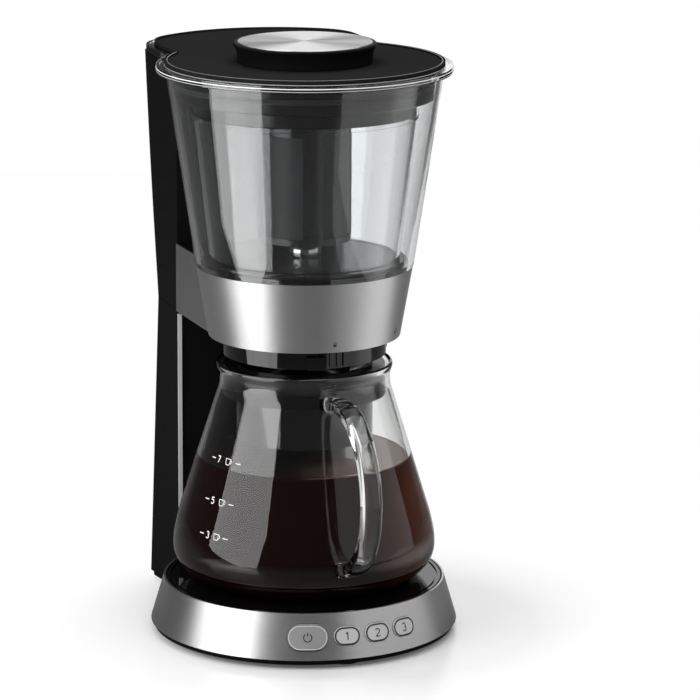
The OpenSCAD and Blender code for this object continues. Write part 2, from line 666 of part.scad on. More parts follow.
module knob_body() color("#141414") on_axis() translate([0, 0, lid_top]) difference() {
    rotate_extrude($fn = 180) polygon(concat([[0, 0], [knob_r - 2.6, 0], [knob_r - 2.3, 0.4]],
        bez([knob_r - 2.3, knob_h * 0.3], [knob_r - 2.1, knob_h * 0.6], [knob_r - 0.9, knob_h * 0.8],
            [knob_r, knob_h - 1.2], 8),
        [[knob_r - 0.1, knob_h - 0.5], [knob_r - 0.7, knob_h], [cap_r + 0.1, knob_h],
            [cap_r + 0.1, knob_h - cap_t + cap_proud], [0, knob_h - cap_t + cap_proud]]));
    translate([0, 0, -1]) cylinder(r = screw_r, h = knob_h - 4, $fn = 32);
}

module knob_cap() color("silver") on_axis() translate([0, 0, knob_top + cap_proud - cap_t])
    rotate_extrude($fn = 180) polygon(concat([[0, 0], [cap_r, 0]],
        bez([cap_r, cap_t - 0.6], [cap_r, cap_t - 0.25], [cap_r - 0.25, cap_t], [cap_r - 0.7, cap_t], 5),
        [[0, cap_t]]));

module knob_screw() color("gainsboro") on_axis() translate([0, 0, lid_z - 2]) difference() {
    union() {
        cylinder(r = 3.4, h = 2, $fn = 32);
        cylinder(r = screw_r - run_gap, h = 2 + lid_t + knob_h - 6, $fn = 32);
    }
    translate([-2.2, -0.4, -1]) cube([4.4, 0.8, 1.8]);
}

// ---- carafe ----
function jug_out() = concat([[0, 0]],
    bez([jug_foot_r, 0], [jug_foot_r + 12, 0], [jug_r, 9], [jug_r, 19.5], 12),
    bez([jug_r, 21], [jug_r, 26], [jug_r - 1.4, 31], [jug_r - 2.8, 37], 6),
    bez([neck_r + 0.75, jug_h - 15.7], [neck_r + 0.1, jug_h - 13.5], [neck_r - 0.1, jug_h - 11], [neck_r, jug_h - 8], 6),
    bez([neck_r + 0.1, jug_h - 6], [neck_r + 0.3, jug_h - 4], [neck_r + 1.5, jug_h - 3.4], [neck_r + 1.5, jug_h - 1.6], 6));

module jug_solid() translate([0, 0, jug_z]) rotate_extrude($fn = 180)
    polygon(concat(jug_out(), [[neck_r + 0.9, jug_h - 0.4], [neck_r, jug_h], [0, jug_h]]));

module carafe() color([0.85, 0.92, 1, 0.3]) on_axis() translate([0, 0, jug_z]) rotate_extrude($fn = 180)
    polygon(concat(jug_out(), [[neck_r + 0.9, jug_h - 0.4], [neck_r - 0.2, jug_h]],
        [[neck_r - glass_t + 0.5, jug_h - 0.5]], rev(inset(jug_out(), glass_t))));

// centre line of the handle: distance in front of the brew axis, height
function grip(n) = let (o = handle_reach - handle_t / 2, z = jug_z) concat(
    bez([neck_r - 1.4, z + jug_h - 16], [o - 33, z + jug_h - 4.2], [o - 0.5, z + jug_h - 26.2], [o, z + jug_h - 59.2], n),
    [for (i = [1:n]) bez([o, z + jug_h - 59.2], [o, z + 45], [o - 17, z + 27], [jug_r - 2.6, z + 22], n)[i]]);

module carafe_handle() color([0.85, 0.92, 1, 0.3]) on_axis() difference() {
    n = 16;
    m = 20;
    p = grip(n);
    q = len(p) - 1;
    pts = [for (i = [0:q]) let (t = left(p, i), e = min(i, q - i) / q, f = 1 + 0.2 * pow(max(0, 1 - e / 0.14), 2))
        for (j = [0:m - 1]) let (a = 360 * j / m, c = cos(a), s = sin(a),
            u = sign(c) * pow(abs(c), 0.7) * handle_w / 2 * f, v = sign(s) * pow(abs(s), 0.7) * handle_t / 2 * f)
            [u, -(p[i][0] + v * t[0]), p[i][1] + v * t[1]]];
    polyhedron(pts, concat(
        [[for (j = [0:m - 1]) j]], [[for (j = [m - 1:-1:0]) q * m + j]],
        [for (i = [0:q - 1]) for (j = [0:m - 1]) [i * m + j, (i + 1) * m + j, (i + 1) * m + (j + 1) % m]],
        [for (i = [0:q - 1]) for (j = [0:m - 1]) [i * m + j, (i + 1) * m + (j + 1) % m, i * m + (j + 1) % m]]));
    jug_solid();
}

module carafe_lid() color("#111111") on_axis() translate([0, 0, jug_top - lip_drop - dish_t]) difference() {
    cylinder(r = cup_r, h = dish_t);
    // dish that runs to the middle
    translate([0, 0, 3]) cylinder(r1 = 6, r2 = cup_r - 2.5, h = dish_t - 3.7, $fn = 128);
    translate([0, 0, dish_t - 0.71]) cylinder(r = cup_r - 2.5, h = 3, $fn = 128);
    translate([0, 0, -1]) cylinder(r = 6, h = dish_t, $fn = 48);
}

module drip_cup() color("#0c0c0c") on_axis() translate([0, 0, jug_top - lip_drop - dish_t - cup_h]) difference() {
    cylinder(r = cup_r, h = cup_h);
    translate([0, 0, 2]) cylinder(r = cup_r - seat_t, h = cup_h);
    // outlets in the floor
    for (a = [0:60:300]) rotate([0, 0, a]) translate([cup_r * 0.55, 0, -1]) cylinder(r = 2.2, h = 5, $fn = 24);
    translate([0, 0, -1]) cylinder(r = 2.2, h = 5, $fn = 24);
}

module lid_seat() color("darkgray") on_axis() translate([0, 0, jug_top - seat_drop - seat_h]) difference() {
    r = neck_r - glass_t - gap;
    cylinder(r = r, h = seat_h);
    translate([0, 0, -1]) cylinder(r = r - seat_t, h = seat_h - 0.6);
    translate([0, 0, -1]) cylinder(r = cup_r + run_gap, h = seat_h + 3);
}

rubber_feet();
base_tray();
base_band();
base_deck();
button_start();
button_mild();
button_medium();
button_bold();
control_board();
tact_switches();
base_screws();
cord_gland();
column_lower();
column_upper();
trim_strips();
head_housing();
head_band();
head_bottom();
drive_motor();
motor_posts();
drive_coupling();
drain_valve();
drain_plunger();
lock_ring();
brew_container();
container_base();
floor_filter();
inner_vessel();
spindle_hub();
basket_frame();
basket_mesh();
basket_cap();
lid();
lid_skirt();
lid_seal();
knob_body();
knob_cap();
knob_screw();
carafe();
carafe_handle();
carafe_lid();
drip_cup();
lid_seat();
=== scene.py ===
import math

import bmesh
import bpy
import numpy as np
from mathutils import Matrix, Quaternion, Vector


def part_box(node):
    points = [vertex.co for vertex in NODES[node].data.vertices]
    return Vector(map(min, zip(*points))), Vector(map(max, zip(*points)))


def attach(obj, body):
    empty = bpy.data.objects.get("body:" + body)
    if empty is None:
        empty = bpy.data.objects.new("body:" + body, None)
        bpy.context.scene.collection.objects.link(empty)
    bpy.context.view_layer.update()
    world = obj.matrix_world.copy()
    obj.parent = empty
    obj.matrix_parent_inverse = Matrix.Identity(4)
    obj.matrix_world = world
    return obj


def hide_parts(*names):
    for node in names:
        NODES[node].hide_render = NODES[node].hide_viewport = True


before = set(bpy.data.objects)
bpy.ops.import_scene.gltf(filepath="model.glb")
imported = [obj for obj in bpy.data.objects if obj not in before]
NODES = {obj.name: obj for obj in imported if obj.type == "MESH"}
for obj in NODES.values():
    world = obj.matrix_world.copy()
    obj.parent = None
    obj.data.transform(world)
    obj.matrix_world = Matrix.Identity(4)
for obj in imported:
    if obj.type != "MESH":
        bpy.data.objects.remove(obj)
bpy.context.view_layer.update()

# %% [markdown]
# # Cold brew coffee maker
# The frame comes in as finished solids, in metres, with every piece on the body it moves with.
# This lesson dresses them: it gives each piece its finish, and makes the pieces whose look depends
# on fine curvature, such as blown glass, from surfaces worked out with numpy.
# The brew axis is the upright line through base, carafe, head and container. Nearly everything is
# round about it, so it is the first value defined.

MM = 0.001
AXIS_Y = -9.0 * MM
TURN = 2 * math.pi
VIEW_TURN = math.radians(18.5)      # the photograph is taken from this far left of the front

# %% [markdown]
# ## Shader maths as plain expressions
# A material is a graph of nodes, which is tedious to wire by hand. A small class wraps a socket and
# overloads the arithmetic operators, so that `0.3 + 0.2 * grain` adds the Math nodes by itself.


# %% A socket that does arithmetic
class Wire:
    """A shader value. Arithmetic on it adds a Math node and gives that node's value."""

    def __init__(self, finish, socket):
        self.finish, self.socket = finish, socket

    def math(self, operation, *others):
        """The Math node's operation on this value and the others."""
        return self.finish.node("ShaderNodeMath", {"operation": operation},
                                dict(enumerate((self, *others))))

    def __add__(self, other):
        return self.math("ADD", other)

    def __mul__(self, other):
        return self.math("MULTIPLY", other)

    def __sub__(self, other):
        return self.math("SUBTRACT", other)

    def __rsub__(self, other):
        return self.finish.node("ShaderNodeMath", {"operation": "SUBTRACT"}, {0: other, 1: self})

    def __truediv__(self, other):
        return self.math("DIVIDE", other)

    def __gt__(self, other):
        return self.math("GREATER_THAN", other)

    def __abs__(self):
        return self.math("ABSOLUTE")

    __radd__, __rmul__ = __add__, __mul__

    def clamp(self):
        """The value held between 0 and 1."""
        return self.math("MAXIMUM", 0.0).math("MINIMUM", 1.0)


# %% A material being wired
class Finish:
    """A new material with one Principled shader, and a method that adds any other node."""

    def __init__(self, name, colour, rough, **constants):
        self.material = bpy.data.materials.new(name)
        self.material.use_nodes = True
        self.tree = self.material.node_tree
        self.tree.nodes.clear()
        self.output = self.tree.nodes.new("ShaderNodeOutputMaterial")
        self.shader = self.tree.nodes.new("ShaderNodeBsdfPrincipled")
        self.tree.links.new(self.shader.outputs[0], self.output.inputs[0])
        self.set("Base Color", (*colour, 1.0))
        self.set("Roughness", rough)
        for socket, value in constants.items():
            self.set(socket.replace("_", " "), value)

    def node(self, kind, settings=None, sockets=None, outlet=0):
        """Adds a node: its settings first, then the values or links of its sockets."""
        made = self.tree.nodes.new(kind)
        for key, value in (settings or {}).items():
            setattr(made, key, value)
        for key, value in (sockets or {}).items():
            if isinstance(value, Wire):
                self.tree.links.new(value.socket, made.inputs[key])
            else:
                made.inputs[key].default_value = value
        return Wire(self, made.outputs[outlet])

    def set(self, socket, value):
        """Gives a socket of the Principled shader a value or a link."""
        if isinstance(value, Wire):
            self.tree.links.new(value.socket, self.shader.inputs[socket])
        else:
            self.shader.inputs[socket].default_value = value
        return self

    def place(self):
        """Object coordinates, in metres, with the origin on the brew axis."""
        coords = self.node("ShaderNodeTexCoord", outlet="Object")
        return self.node("ShaderNodeMapping", {}, {"Vector": coords, "Location": (0, -AXIS_Y, 0)})

    def split(self, vector):
        """The three parts of a vector."""
        parts = self.node("ShaderNodeSeparateXYZ", {}, {0: vector})
        return [Wire(self, outlet) for outlet in parts.socket.node.outputs]

    def xyz(self):
        return self.split(self.place())

    def vector(self, x, y, z):
        return self.node("ShaderNodeCombineXYZ", {}, {0: x, 1: y, 2: z})

    def noise(self, where, scale, detail=2.0, rough=0.5):
        """Smooth noise between 0 and 1, with its lumps about 1 / scale across."""
        return self.node("ShaderNodeTexNoise", {}, {"Vector": where, "Scale": scale,
                                                    "Detail": detail, "Roughness": rough})

    def mix(self, share, first, second):
        """A colour between two: share 0 is the first, 1 the second."""
        first, second = (c if isinstance(c, Wire) else (*c, 1.0) for c in (first, second))
        return self.node("ShaderNodeMix", {"data_type": "RGBA"}, {0: share, 6: first, 7: second}, 2)

    def bump(self, height, depth, strength=1.0):
        """Raises the surface by height times depth, in metres."""
        self.set("Normal", self.node("ShaderNodeBump", {}, {"Height": height, "Distance": depth,
                                                            "Strength": strength}))
        return self


# %% [markdown]
# ## Surfaces from numpy
# Blender has tools that spin a profile or follow a curve. Here a shape is a grid of points instead,
# which numpy works out as whole arrays, so every number stays in sight. One function then turns any
# grid into a closed mesh whose faces point outwards.


# %% From a grid of points to a mesh
def grid_mesh(name, points):
    """points[i, j] is the grid, which closes on itself along j. Neighbours make a face."""
    rows, columns = points.shape[:2]
    row, column = np.arange(rows - 1)[:, None], np.arange(columns)[None, :]
    right = (column + 1) % columns
    faces = np.stack([row * columns + column, row * columns + right,
                      (row + 1) * columns + right, (row + 1) * columns + column], -1)
    mesh = bpy.data.meshes.new(name)
    mesh.from_pydata(points.reshape(-1, 3).tolist(), [], faces.reshape(-1, 4).tolist())
    work = bmesh.new()
    work.from_mesh(mesh)
    bmesh.ops.remove_doubles(work, verts=work.verts, dist=1e-7)
    bmesh.ops.holes_fill(work, edges=[e for e in work.edges if e.is_boundary], sides=0)
    bmesh.ops.recalc_face_normals(work, faces=work.faces)
    work.to_mesh(mesh)
    work.free()
    return linked(name, mesh)


def linked(name, mesh):
    """A smooth-shaded object of the mesh, in the scene."""
    mesh.shade_smooth()
    made = bpy.data.objects.new(name, mesh)
    bpy.context.scene.collection.objects.link(made)
    return made


# %% Round surfaces and profiles
def about_axis(r, t, z):
    """Points at radius r, turned t from the front to the right, at height z, in metres:
    (r sin t, axis - r cos t, z)."""
    return np.stack([r * np.sin(t), AXIS_Y - r * np.cos(t), z + 0 * t], -1)


def turned(name, profile, steps):
    """A profile of (radius, height) in millimetres, from axis to axis, turned about the axis."""
    profile = np.asarray(profile, float) * MM
    t = np.linspace(0, TURN, steps, endpoint=False)
    return grid_mesh(name, about_axis(profile[:, :1], t, profile[:, 1:]))


def curve(a, b, c, d, count):
    """A Bezier curve's points: the cubic blend of four control points."""
    t = np.linspace(0, 1, count + 1)[:, None]
    a, b, c, d = (np.array(p, float) for p in (a, b, c, d))
    return (1 - t) ** 3 * a + 3 * (1 - t) ** 2 * t * b + 3 * (1 - t) * t ** 2 * c + t ** 3 * d


def left_normals(path):
    """For each point of a flat path, its direction turned a quarter to the left, of length 1."""
    step = np.gradient(path, axis=0)
    step /= np.linalg.norm(step, axis=1, keepdims=True)
    return np.stack([-step[:, 1], step[:, 0]], 1)


# %% Giving a finish
def dress(finish, *names):
    """Puts a material on CAD nodes, in place of the one they came with."""
    for name in names:
        mesh = NODES[name].data
        mesh.materials.clear()
        mesh.materials.append(finish.material)


def settle(piece, finish, body, slot, *replaced):
    """A made piece gets its finish and the body it rides on, and stands for CAD nodes."""
    piece.data.materials.clear()
    piece.data.materials.append(finish.material)
    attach(piece, body)
    if replaced:
        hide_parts(*replaced)
    return piece


# %% [markdown]
# ## Plastics and rubber
# Moulded plastic is never one flat tone. It has a fine spark-eroded grain that breaks up its
# reflection, and handling leaves it slightly shinier in places. A painted texture could show both,
# but a noise needs no picture and never stretches: one of about half a millimetre does the grain,
# and one of some centimetres the uneven shine.


# %% Moulded plastics
def plastic(name, colour, rough, grain=1800.0, depth=0.00002, **constants):
    """A plastic whose roughness is rough + 0.10 broad noise + 0.06 fine grain."""
    made = Finish(name, colour, rough, **constants)
    where = made.place()
    fine = made.noise(where, grain)
    broad = made.noise(where, 22.0, 3.0)
    made.set("Roughness", rough + 0.10 * (broad - 0.5) + 0.06 * (fine - 0.5))
    made.set("Base Color", made.mix(broad, colour, tuple(1.25 * c for c in colour)))
    return made.bump(fine, depth, 0.35)


def grey(level):
    return (level, level, level)


satin_black = plastic("satin_black_plastic", (0.0050, 0.0050, 0.0052), 0.46,
                      Specular_IOR_Level=0.02)
lid_black = plastic("lid_grained_plastic", (0.014, 0.014, 0.0143), 0.55, grain=1300.0,
                    depth=0.00005, Specular_IOR_Level=0.0)
skirt_black = plastic("lid_skirt_plastic", grey(0.012), 0.22, Specular_IOR_Level=0.35)
soft_black = plastic("head_black_plastic", (0.004, 0.004, 0.0045), 0.20, Specular_IOR_Level=0.4)
gloss_black = plastic("gloss_black_plastic", (0.003, 0.0025, 0.0025), 0.05, grain=300.0,
                      depth=0.000002)
seat_black = plastic("seat_plastic", (0.006, 0.006, 0.0062), 0.22, Specular_IOR_Level=0.15)
floor_black = plastic("dark_floor_plastic", grey(0.012), 0.16)
rubber = plastic("black_rubber", grey(0.02), 0.7)
start_grey = plastic("button_plastic", grey(0.22), 0.34)
strength_grey = plastic("small_button_plastic", grey(0.41), 0.34)
light_trim = plastic("light_trim_plastic", (0.42, 0.42, 0.43), 0.3)
board_green = plastic("circuit_board", (0.02, 0.10, 0.04), 0.45)
motor_metal = plastic("motor_metal", (0.45, 0.45, 0.46), 0.35, Metallic=1.0)
print("plastics:", len(bpy.data.materials))

# %% [markdown]
# ## Brushed steel
# The bands are steel strip, brushed along its length before it was rolled round the base. The
# strokes are long and lie level, so the noise is stretched: its coordinates are the distance round
# the band and the height, with the height counted many times faster.

# %% Steel brushed round the axis
BAND_R = 0.08               # a middle radius of the bands, which turns an angle into a distance
STROKES_ROUND, STROKES_UP = 60.0, 9000.0        # strokes to a metre


def brushed(name, colour, rough):
    """Metal whose strokes are a noise of (distance round the axis, height)."""
    made = Finish(name, colour, rough, Metallic=1.0)
    x, y, z = made.xyz()
    round_it = x.math("ARCTAN2", y) * (BAND_R * STROKES_ROUND)
    strokes = made.noise(made.vector(round_it, z * STROKES_UP, 0.0), 1.0, 3.0, 0.6)
    fine = made.noise(made.vector(round_it * 4.0, z * (STROKES_UP * 2.3), 3.0), 1.0)
    broad = made.noise(made.place(), 14.0)
    made.set("Roughness", rough + 0.10 * (strokes - 0.5) + 0.04 * (broad - 0.5))
    made.set("Base Color", made.mix(fine, tuple(0.72 * c for c in colour),
                                    tuple(1.1 * c for c in colour)))
    made.set("Anisotropic", 0.35).set("Anisotropic Rotation", 0.25)
    return made.bump(strokes + 0.5 * fine, 0.00003, 0.6)


band_steel = brushed("brushed_band_steel", grey(0.56), 0.34)


# %% Steel turned on a lathe
def turned_steel(name, colour, rough):
    """Rings cut by a lathe tool: the noise depends on the distance from the axis alone."""
    made = Finish(name, colour, rough, Metallic=1.0)
    x, y, _ = made.xyz()
    radius = (x * x + y * y).math("SQRT")
    rings = made.noise(made.vector(radius * 5200.0, 0.0, 0.0), 1.0, 3.0, 0.7)
    made.set("Roughness", rough + 0.08 * (rings - 0.5))
    made.set("Base Color", made.mix(rings, tuple(0.88 * c for c in colour), colour))
    made.set("Anisotropic", 0.85).set("Anisotropic Rotation", 0.25)
    return made.bump(rings, 0.00003, 0.5)


cap_steel = turned_steel("turned_cap_steel", grey(0.50), 0.38)
hub_steel = turned_steel("polished_hub_steel", grey(0.72), 0.12)

# %% [markdown]
# ## Clear plastic and glass
# Glass could be a thin sheet that only reflects, which renders fast, but a real wall bends what is
# behind it and shows a double outline. So both are one thick wall with an outer and an inner
# surface, and faint waves in it bend a reflection's edges.


# %% Clear materials
def clear(name, colour, wave_depth):
    """A see-through wall with the index of glass, and waves some centimetres long."""
    made = Finish(name, colour, 0.0, Transmission_Weight=1.0, IOR=1.47)
    return made.bump(made.noise(made.place(), 28.0), wave_depth, 0.5)


clear_plastic = clear("clear_container_plastic", (0.93, 0.94, 0.945), 0.0002)
clear_glass = clear("carafe_glass", (0.97, 0.98, 0.975), 0.0003)

# %% CAD pieces that only need a finish
dress(rubber, "rubber_feet", "cord_gland", "lid_seal")
dress(satin_black, "base_tray", "column_lower", "column_upper", "knob_body")
dress(lid_black, "lid")
dress(skirt_black, "lid_skirt", "basket_cap")
dress(soft_black, "head_housing", "head_bottom", "drain_valve", "drive_coupling")
dress(gloss_black, "base_deck", "carafe_lid", "drip_cup", "lock_ring")
dress(seat_black, "lid_seat", "drain_plunger")
dress(floor_black, "container_base", "basket_frame")
dress(band_steel, "base_band", "head_band")
dress(cap_steel, "knob_cap")
dress(hub_steel, "spindle_hub")
dress(start_grey, "button_start")
dress(strength_grey, "button_mild", "button_medium", "button_bold")
dress(light_trim, "trim_strips")
dress(board_green, "control_board")
dress(motor_metal, "drive_motor", "motor_posts", "tact_switches", "base_screws", "knob_screw")
dress(clear_plastic, "brew_container", "inner_vessel")
dress(clear_glass, "carafe", "carafe_handle")
print("nodes in the frame:", len(NODES))

# %% [markdown]
# ## Fine mesh
# The basket's wall and the floor filter are sheets pierced by thousands of tiny holes, too many to
# model one by one. A product of two waves makes a dot at each hole, darker and sunk.

# %% Pierced sheet
BASKET_R = 0.0255


def pierced(name, colour, pitch, rough, round_axis):
    """Holes where sin(a) sin(b) is above 0, with a and b counted along the sheet in pitches."""
    made = Finish(name, colour, rough)
    x, y, z = made.xyz()
    across, up = (x.math("ARCTAN2", y) * BASKET_R, z) if round_axis else (x, y)
    wave_a, wave_b = ((way * (TURN / pitch)).math("SINE") for way in (across, up))
    holes = (wave_a * wave_b * 2.0).clamp()
    made.set("Base Color", made.mix(holes, colour, tuple(0.25 * c for c in colour)))
    made.set("Roughness", rough + 0.2 * holes)
    return made.bump(1.0 - holes, 0.0001, 0.5)


dress(pierced("basket_mesh_sheet", grey(0.055), 0.0011, 0.42, True), "basket_mesh")
dress(pierced("floor_mesh_sheet", grey(0.03), 0.0014, 0.12, False), "floor_filter")

# %% [markdown]
# ## The glass carafe
# A blown carafe has no sharp edge anywhere: the foot rolls into the belly, and the lip is fire
# polished to a bead. A lathe-like profile suits it better than a sculpted block, because every
# curve can be set by its radius. It goes up the outside, over the lip and down the inside.

# %% Carafe profile
FOOT_Z, CARAFE_H, GLASS = 31.2, 128.0, 2.5
BELLY_R, NECK_R, JUG_FOOT_R = 76.0, 49.3, 54.0


def carafe_outside():
    """Bezier pieces end to end: the kick under the foot, the belly's roll, the cone, the neck."""
    z, top, cone_r = FOOT_Z, FOOT_Z + CARAFE_H, BELLY_R - 2.8
    pieces = [
        curve((0, z + 1.6), (30, z + 1.6), (42, z + 1.6), (48, z + 0.3), 10),
        curve((48, z + 0.3), (50, z), (52, z), (JUG_FOOT_R, z), 4),
        curve((JUG_FOOT_R, z), (JUG_FOOT_R + 12, z), (BELLY_R, z + 9), (BELLY_R, z + 19.5), 22),
        curve((BELLY_R, z + 19.5), (BELLY_R, z + 26), (BELLY_R - 1.4, z + 31),
              (cone_r, z + 37), 12),
        curve((cone_r, z + 37), (66, z + 60), (57, z + 90), (NECK_R + 0.75, top - 15.7), 22),
        curve((NECK_R + 0.75, top - 15.7), (NECK_R + 0.1, top - 13.5),
              (NECK_R - 0.1, top - 11), (NECK_R, top - 8), 10),
        curve((NECK_R, top - 8), (NECK_R + 0.2, top - 5), (NECK_R + 1.5, top - 4),
              (NECK_R + 1.5, top - 2), 10)]
    return np.concatenate([piece[:-1] for piece in pieces[:-1]] + pieces[-1:])


outside = carafe_outside()
inside = outside + GLASS * left_normals(outside)
inside[0, 0] = 0.0

# %% The jug
lip_out, lip_in = outside[-1], inside[-1]
lip = curve(lip_out, lip_out + (0, 2.4), lip_in + (0.4, 2.4), lip_in + (0.2, -0.2), 8)[1:-1]
carafe = turned("carafe_jug", np.concatenate([outside, lip, inside[::-1]]), 200)
settle(carafe, clear_glass, "jug", "clear_glass", "carafe")
print("carafe:", len(carafe.data.polygons), "faces")

# %% [markdown]
# ## The glass handle
# The handle is a strap of glass drawn out hot and pressed on at both ends, where it spreads. Its
# section is a rounded rectangle carried along a path, a little larger near the ends. A curve object
# with a bevel could follow the same path, but it can't spread its section so simply.

# %% Handle
GRIP_REACH, GRIP_W, GRIP_T, GRIP_SPREAD = 117.0, 12.0, 8.0, 0.2


def grip_path():
    """Two Bezier pieces, out from the neck and back to the belly, as (out, up) in millimetres."""
    reach, z = GRIP_REACH, FOOT_Z
    top = curve((NECK_R - 1.4, z + 112), (reach - 33, z + 123.8), (reach - 0.5, z + 101.8),
                (reach, z + 68.8), 40)
    low = curve((reach, z + 68.8), (reach, z + 45), (reach - 17, z + 27),
                (BELLY_R - 2.0, z + 22), 34)
    return np.concatenate([top[:-1], low])


def soften(wave, power=0.62):
    """The wave's size to a power below one, with its sign kept, which squares a round section."""
    return np.sign(wave) * np.abs(wave) ** power


def swept_strap(name, path, width, thick, spread, corners=28):
    """A superellipse carried along a path in the plane of the brew axis. It grows by the share
    spread over the last tenth at each end."""
    side = left_normals(path)
    place = np.linspace(0, 1, len(path))
    near_end = np.clip(1 - np.minimum(place, 1 - place) / 0.10, 0, 1) ** 2
    size = 1 + spread * near_end[:, None]
    t = np.linspace(0, TURN, corners, endpoint=False)[None, :]
    u = soften(np.cos(t)) * width / 2 * size
    v = soften(np.sin(t)) * thick / 2 * size
    out, up = path[:, :1] + v * side[:, :1], path[:, 1:] + v * side[:, 1:]
    return grid_mesh(name, np.stack([u * MM, AXIS_Y - out * MM, up * MM], -1))


handle = swept_strap("carafe_grip", grip_path(), GRIP_W, GRIP_T, GRIP_SPREAD)
settle(handle, clear_glass, "jug", "clear_glass", "carafe_handle")
print("handle:", len(handle.data.polygons), "faces")

# %% [markdown]
# ## Polished edges, with painted highlights
# The lid and the container's flange are moulded with sharp, polished edges, which catch the light
# as thin bright lines. A bevel would do this in a close view, but at arm's length it is thinner
# than a pixel. So each line is a painted highlight: a fine grey bead along the edge, as far round
# as the edge is round, whose colour stands for the lamp's reflection.


# %% Edge beads as painted highlights
def painted_highlight_bead(name, radius, height, size, finish, body, slot):
    """A painted highlight: a bead of the given thickness at a radius and height, in metres,
    open towards the back.
    """
    t = np.radians(np.linspace(-128, 128, 161))[:, None]
    a = np.linspace(0, TURN, 8, endpoint=False)[None, :]
    points = about_axis(radius + size / 2 * np.cos(a), t, height + size / 2 * np.sin(a))
    return settle(grid_mesh(name, points), finish, body, slot)


# painted highlights: grey colours that stand for the lamp's reflection in the polished edges
highlight_dim = plastic("painted_highlight_dark", grey(0.15), 0.25)
highlight_mid = plastic("painted_highlight_grey", grey(0.40), 0.25)
highlight_bright = plastic("painted_highlight_light", grey(0.80), 0.25)

# %% The lid's and the flange's edges
LID_R, FLANGE_R, FLANGE_T = 79.5 * MM, 84.0 * MM, 3.2 * MM
lid_low, lid_high = (corner[2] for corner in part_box("lid"))
flange_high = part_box("brew_container")[1][2]
for name, radius, height, size, finish in (
        ("painted_highlight_lid_inner", LID_R - 1.6 * MM, lid_high - 0.05 * MM, 0.5 * MM, highlight_dim),
        ("painted_highlight_lid_low", LID_R, lid_low + 0.25 * MM, 0.45 * MM, highlight_mid)):
    painted_highlight_bead(name, radius, height, size, finish, "top_lid", "black_gloss")
for name, height, size, finish in (
        ("painted_highlight_flange_top", flange_high - 1.5 * MM, 0.5 * MM, highlight_bright),
        ("painted_highlight_flange_low", flange_high - FLANGE_T + 0.2 * MM, 0.4 * MM, highlight_mid)):
    painted_highlight_bead(name, FLANGE_R, height, size, finish, "container", "clear_plastic")
print("lid edges at", round(lid_low, 4), "and", round(lid_high, 4), "m")

# %% [markdown]
# ## Coffee
# The brew fills the carafe to just under its top mark. It is its own closed body that reaches a
# hair into the glass, so no sliver of air shows between them. Real coffee lets a little light
# through. A volume would do that slowly, so that light is painted into the surface's colour
# instead: it grows brown at the right, where the light comes in and the way through is short.
# The top is also painted lighter towards the right, as a painted reflection of the bright room.

# %% Coffee's shape
FILL_Z, BITE = 103.7, 0.12
level = inside[inside[:, 1] < FILL_Z]
wall_at_level = np.array([[np.interp(FILL_Z, inside[:, 1], inside[:, 0]), FILL_Z]])
body_profile = np.concatenate([level, wall_at_level]) + (BITE, 0.0)
body_profile[0, 0] = 0.0
surface = np.stack([np.linspace(body_profile[-1, 0] - 0.5, 0, 24), np.full(24, FILL_Z - 0.25)], 1)
surface[0, 1] = FILL_Z - 0.1
coffee = turned("coffee_fill", np.concatenate([body_profile, surface]), 160)
print("coffee: %.1f mm across at the top" % (2 * body_profile[-1, 0]))

# %% Coffee's finish, with painted light
VIEW_SIN, VIEW_COS = math.sin(VIEW_TURN), math.cos(VIEW_TURN)
DEEP, BODY_PAINTED_GLOW = (0.012, 0.0022, 0.002), (0.16, 0.050, 0.026)
TOP_DARK, TOP_PAINTED_REFLECTION = (0.018, 0.006, 0.005), (0.30, 0.20, 0.15)


def to_right(x, y):
    """How far right of the brew axis a point lies in the photograph: x cos a - y sin a."""
    return x * VIEW_COS - y * VIEW_SIN


brew = Finish("cold_brew", DEEP, 0.05, IOR=1.34, Specular_IOR_Level=0.05, Coat_IOR=1.34)
bx, by, bz = brew.xyz()
side = to_right(bx, by) / (BELLY_R * MM)
# painted light: a brown glow on the right of the coffee's body, where light would come through
painted_glow = ((side - 0.38) * 2.2).clamp()
painted_glow = painted_glow * painted_glow * (1.0 - abs((bz - 0.085) * 14.0)).clamp()
top = bz > (FILL_Z - 0.6) * MM
# painted reflection: the coffee's top is painted lighter towards the right
top_painted_reflection = brew.mix(((side + 0.05) * 1.6).clamp(), TOP_DARK, TOP_PAINTED_REFLECTION)
brew.set("Base Color", brew.mix(top, brew.mix(painted_glow, DEEP, BODY_PAINTED_GLOW), top_painted_reflection))
brew.set("Coat Weight", top * 0.5)
settle(coffee, brew, "jug", "black_gloss")

# %% [markdown]
# ## Printed marks
# The cup marks, the button signs and the lock signs are printed ink. A text object or a picture
# could carry them, but here they are ribbons laid a few hundredths of a millimetre over the
# surface, which stay sharp at any size. Each is drawn flat, in millimetres to the right and up,
# and then wrapped: a point u to the right goes u / r further round the axis.


# %% Flat ribbons
def ribbon(path, width):
    """A line of the given width along a path, as a grid of left and right edge points."""
    path = np.asarray(path, float)
    side = left_normals(path) * width / 2
    return np.stack([path + side, path - side], 1)


def dense(corners, per=6):
    """More points along a path of straight pieces: each piece cut into per equal steps."""
    corners = np.asarray(corners, float)
    t = np.arange(per)[:, None] / per
    steps = [a + (b - a) * t for a, b in zip(corners[:-1], corners[1:])]
    return np.concatenate(steps + [corners[-1:]])


def arc(x, y, r, start, end, count=20):
    """Part of a circle about (x, y), from one angle to another in degrees."""
    t = np.radians(np.linspace(start, end, count))
    return np.stack([x + r * np.cos(t), y + r * np.sin(t)], 1)


def oval_line(w, h):
    """An oval with round ends, closed: two half circles joined by straight pieces."""
    c = (w - h) / 2
    line = np.concatenate([arc(c, 0, h / 2, -90, 90, 12), arc(-c, 0, h / 2, 90, 270, 12)])
    return dense(np.concatenate([line, line[:2]]), 3)


def moved(grids, x):
    return [grid + (x, 0.0) for grid in grids]


